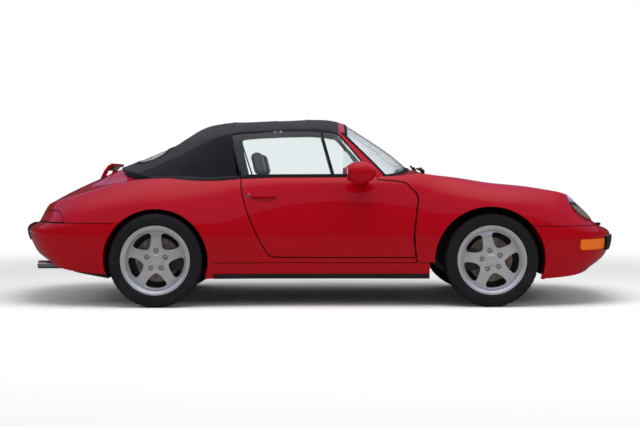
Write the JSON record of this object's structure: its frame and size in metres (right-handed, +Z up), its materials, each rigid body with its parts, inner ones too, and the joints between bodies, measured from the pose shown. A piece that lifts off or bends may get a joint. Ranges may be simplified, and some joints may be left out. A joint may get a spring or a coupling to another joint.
{
  "type": "convertible car",
  "caption": "Two-seat-plus-two convertible car with raised black soft top, rear engine, opening doors and lids, steered front wheels and spinning wheels.",
  "frame": {"origin": "middle of the overall box, on the ground under the tyres", "axes": "+X to the car's front, +Y to its left, +Z up"},
  "size_m": [4.246, 1.8804, 1.3063],
  "materials": {
    "paint": "glossy crimson red",
    "glass": "clear, slightly green",
    "underbody": "black underseal",
    "top_fabric": "black woven soft top",
    "lamp_clear": "clear lens",
    "lamp_amber": "amber lens",
    "lamp_red": "red lens",
    "upholstery": "dark grey leather",
    "trim_black": "black",
    "tyre": "black rubber",
    "alloy": "silver lacquer",
    "iron": "machined disc with brown hat",
    "chassis_steel": "black",
    "alloy_dull": "dull casting",
    "exhaust_steel": "heat-dulled steel with bright tailpipes"
  },
  "bodies": {
    "chassis": {"body_shell": "paint", "rear_quarters": "paint", "floor_pan": "underbody", "front_fender_right": "paint", "front_fender_left": "paint", "front_bumper": "paint", "rear_bumper": "paint", "windscreen": "glass", "soft_top": "top_fabric", "rear_window": "glass", "headlamps": "lamp_clear", "front_indicators": "lamp_amber", "tail_lamps": "lamp_red", "seat_right": "upholstery", "seat_left": "upholstery", "rear_seats": "upholstery", "dashboard": "trim_black", "front_suspension": "chassis_steel", "rear_suspension": "chassis_steel", "engine_block": "alloy_dull", "exhaust": "exhaust_steel", "wipers": "trim_black"},
    "front_lid": {"front_lid": "paint"},
    "engine_lid": {"engine_lid": "paint", "brake_light_arch": "paint"},
    "door_right": {"door_right": "paint", "door_glass_right": "glass", "mirror_right": "paint"},
    "door_left": {"door_left": "paint", "door_glass_left": "glass", "mirror_left": "paint"},
    "steering_wheel": {"steering_wheel": "trim_black"},
    "knuckle_right": {"knuckle_right": "chassis_steel"},
    "knuckle_left": {"knuckle_left": "chassis_steel"},
    "wheel_front_right": {"tyre_front_right": "tyre", "rim_front_right": "alloy", "disc_front_right": "iron"},
    "wheel_front_left": {"tyre_front_left": "tyre", "rim_front_left": "alloy", "disc_front_left": "iron"},
    "wheel_rear_right": {"tyre_rear_right": "tyre", "rim_rear_right": "alloy", "disc_rear_right": "iron"},
    "wheel_rear_left": {"tyre_rear_left": "tyre", "rim_rear_left": "alloy", "disc_rear_left": "iron"}
  },
  "joints": [
    {"name": "steer_left", "type": "hinge", "parent": "chassis", "child": "knuckle_left", "pos_m": [1.1695, 0.60346, 0.318], "axis": [0, -0.2147, 0.9767], "range_deg": [-32, 32]},
    {"name": "steer_right", "type": "hinge", "parent": "chassis", "child": "knuckle_right", "pos_m": [1.1695, -0.60346, 0.318], "axis": [0, 0.2147, 0.9767], "range_deg": [-32, 32]},
    {"name": "steering_wheel_turn", "type": "hinge", "parent": "chassis", "child": "steering_wheel", "pos_m": [0.29, 0.36, 0.713], "axis": [-0.9444, 0, 0.3289], "range_deg": [-512, 512]},
    {"name": "door_left_swing", "type": "hinge", "parent": "chassis", "child": "door_left", "pos_m": [0.585, 0.735, 0.6], "axis": [0, 0, -1], "range_deg": [0, 65]},
    {"name": "door_right_swing", "type": "hinge", "parent": "chassis", "child": "door_right", "pos_m": [0.585, -0.735, 0.6], "axis": [0, 0, 1], "range_deg": [0, 65]},
    {"name": "front_lid_lift", "type": "hinge", "parent": "chassis", "child": "front_lid", "pos_m": [0.806, 0, 0.9], "axis": [0, -1, 0], "range_deg": [0, 65]},
    {"name": "engine_lid_lift", "type": "hinge", "parent": "chassis", "child": "engine_lid", "pos_m": [-1.474, 0, 0.94], "axis": [0, 1, 0], "range_deg": [0, 60]},
    {"name": "wheel_front_right_spin", "type": "hinge", "parent": "knuckle_right", "child": "wheel_front_right", "pos_m": [1.1695, -0.7025, 0.318], "axis": [0, 1, 0], "continuous": true},
    {"name": "wheel_front_left_spin", "type": "hinge", "parent": "knuckle_left", "child": "wheel_front_left", "pos_m": [1.1695, 0.7025, 0.318], "axis": [0, 1, 0], "continuous": true},
    {"name": "wheel_rear_right_spin", "type": "hinge", "parent": "chassis", "child": "wheel_rear_right", "pos_m": [-1.1025, -0.722, 0.318], "axis": [0, 1, 0], "continuous": true},
    {"name": "wheel_rear_left_spin", "type": "hinge", "parent": "chassis", "child": "wheel_rear_left", "pos_m": [-1.1025, 0.722, 0.318], "axis": [0, 1, 0], "continuous": true}
  ],
  "couplings": [
    {"joint": "steer_right", "follows": "steer_left", "ratio": 1},
    {"joint": "steering_wheel_turn", "follows": "steer_left", "ratio": 16}
  ]
}
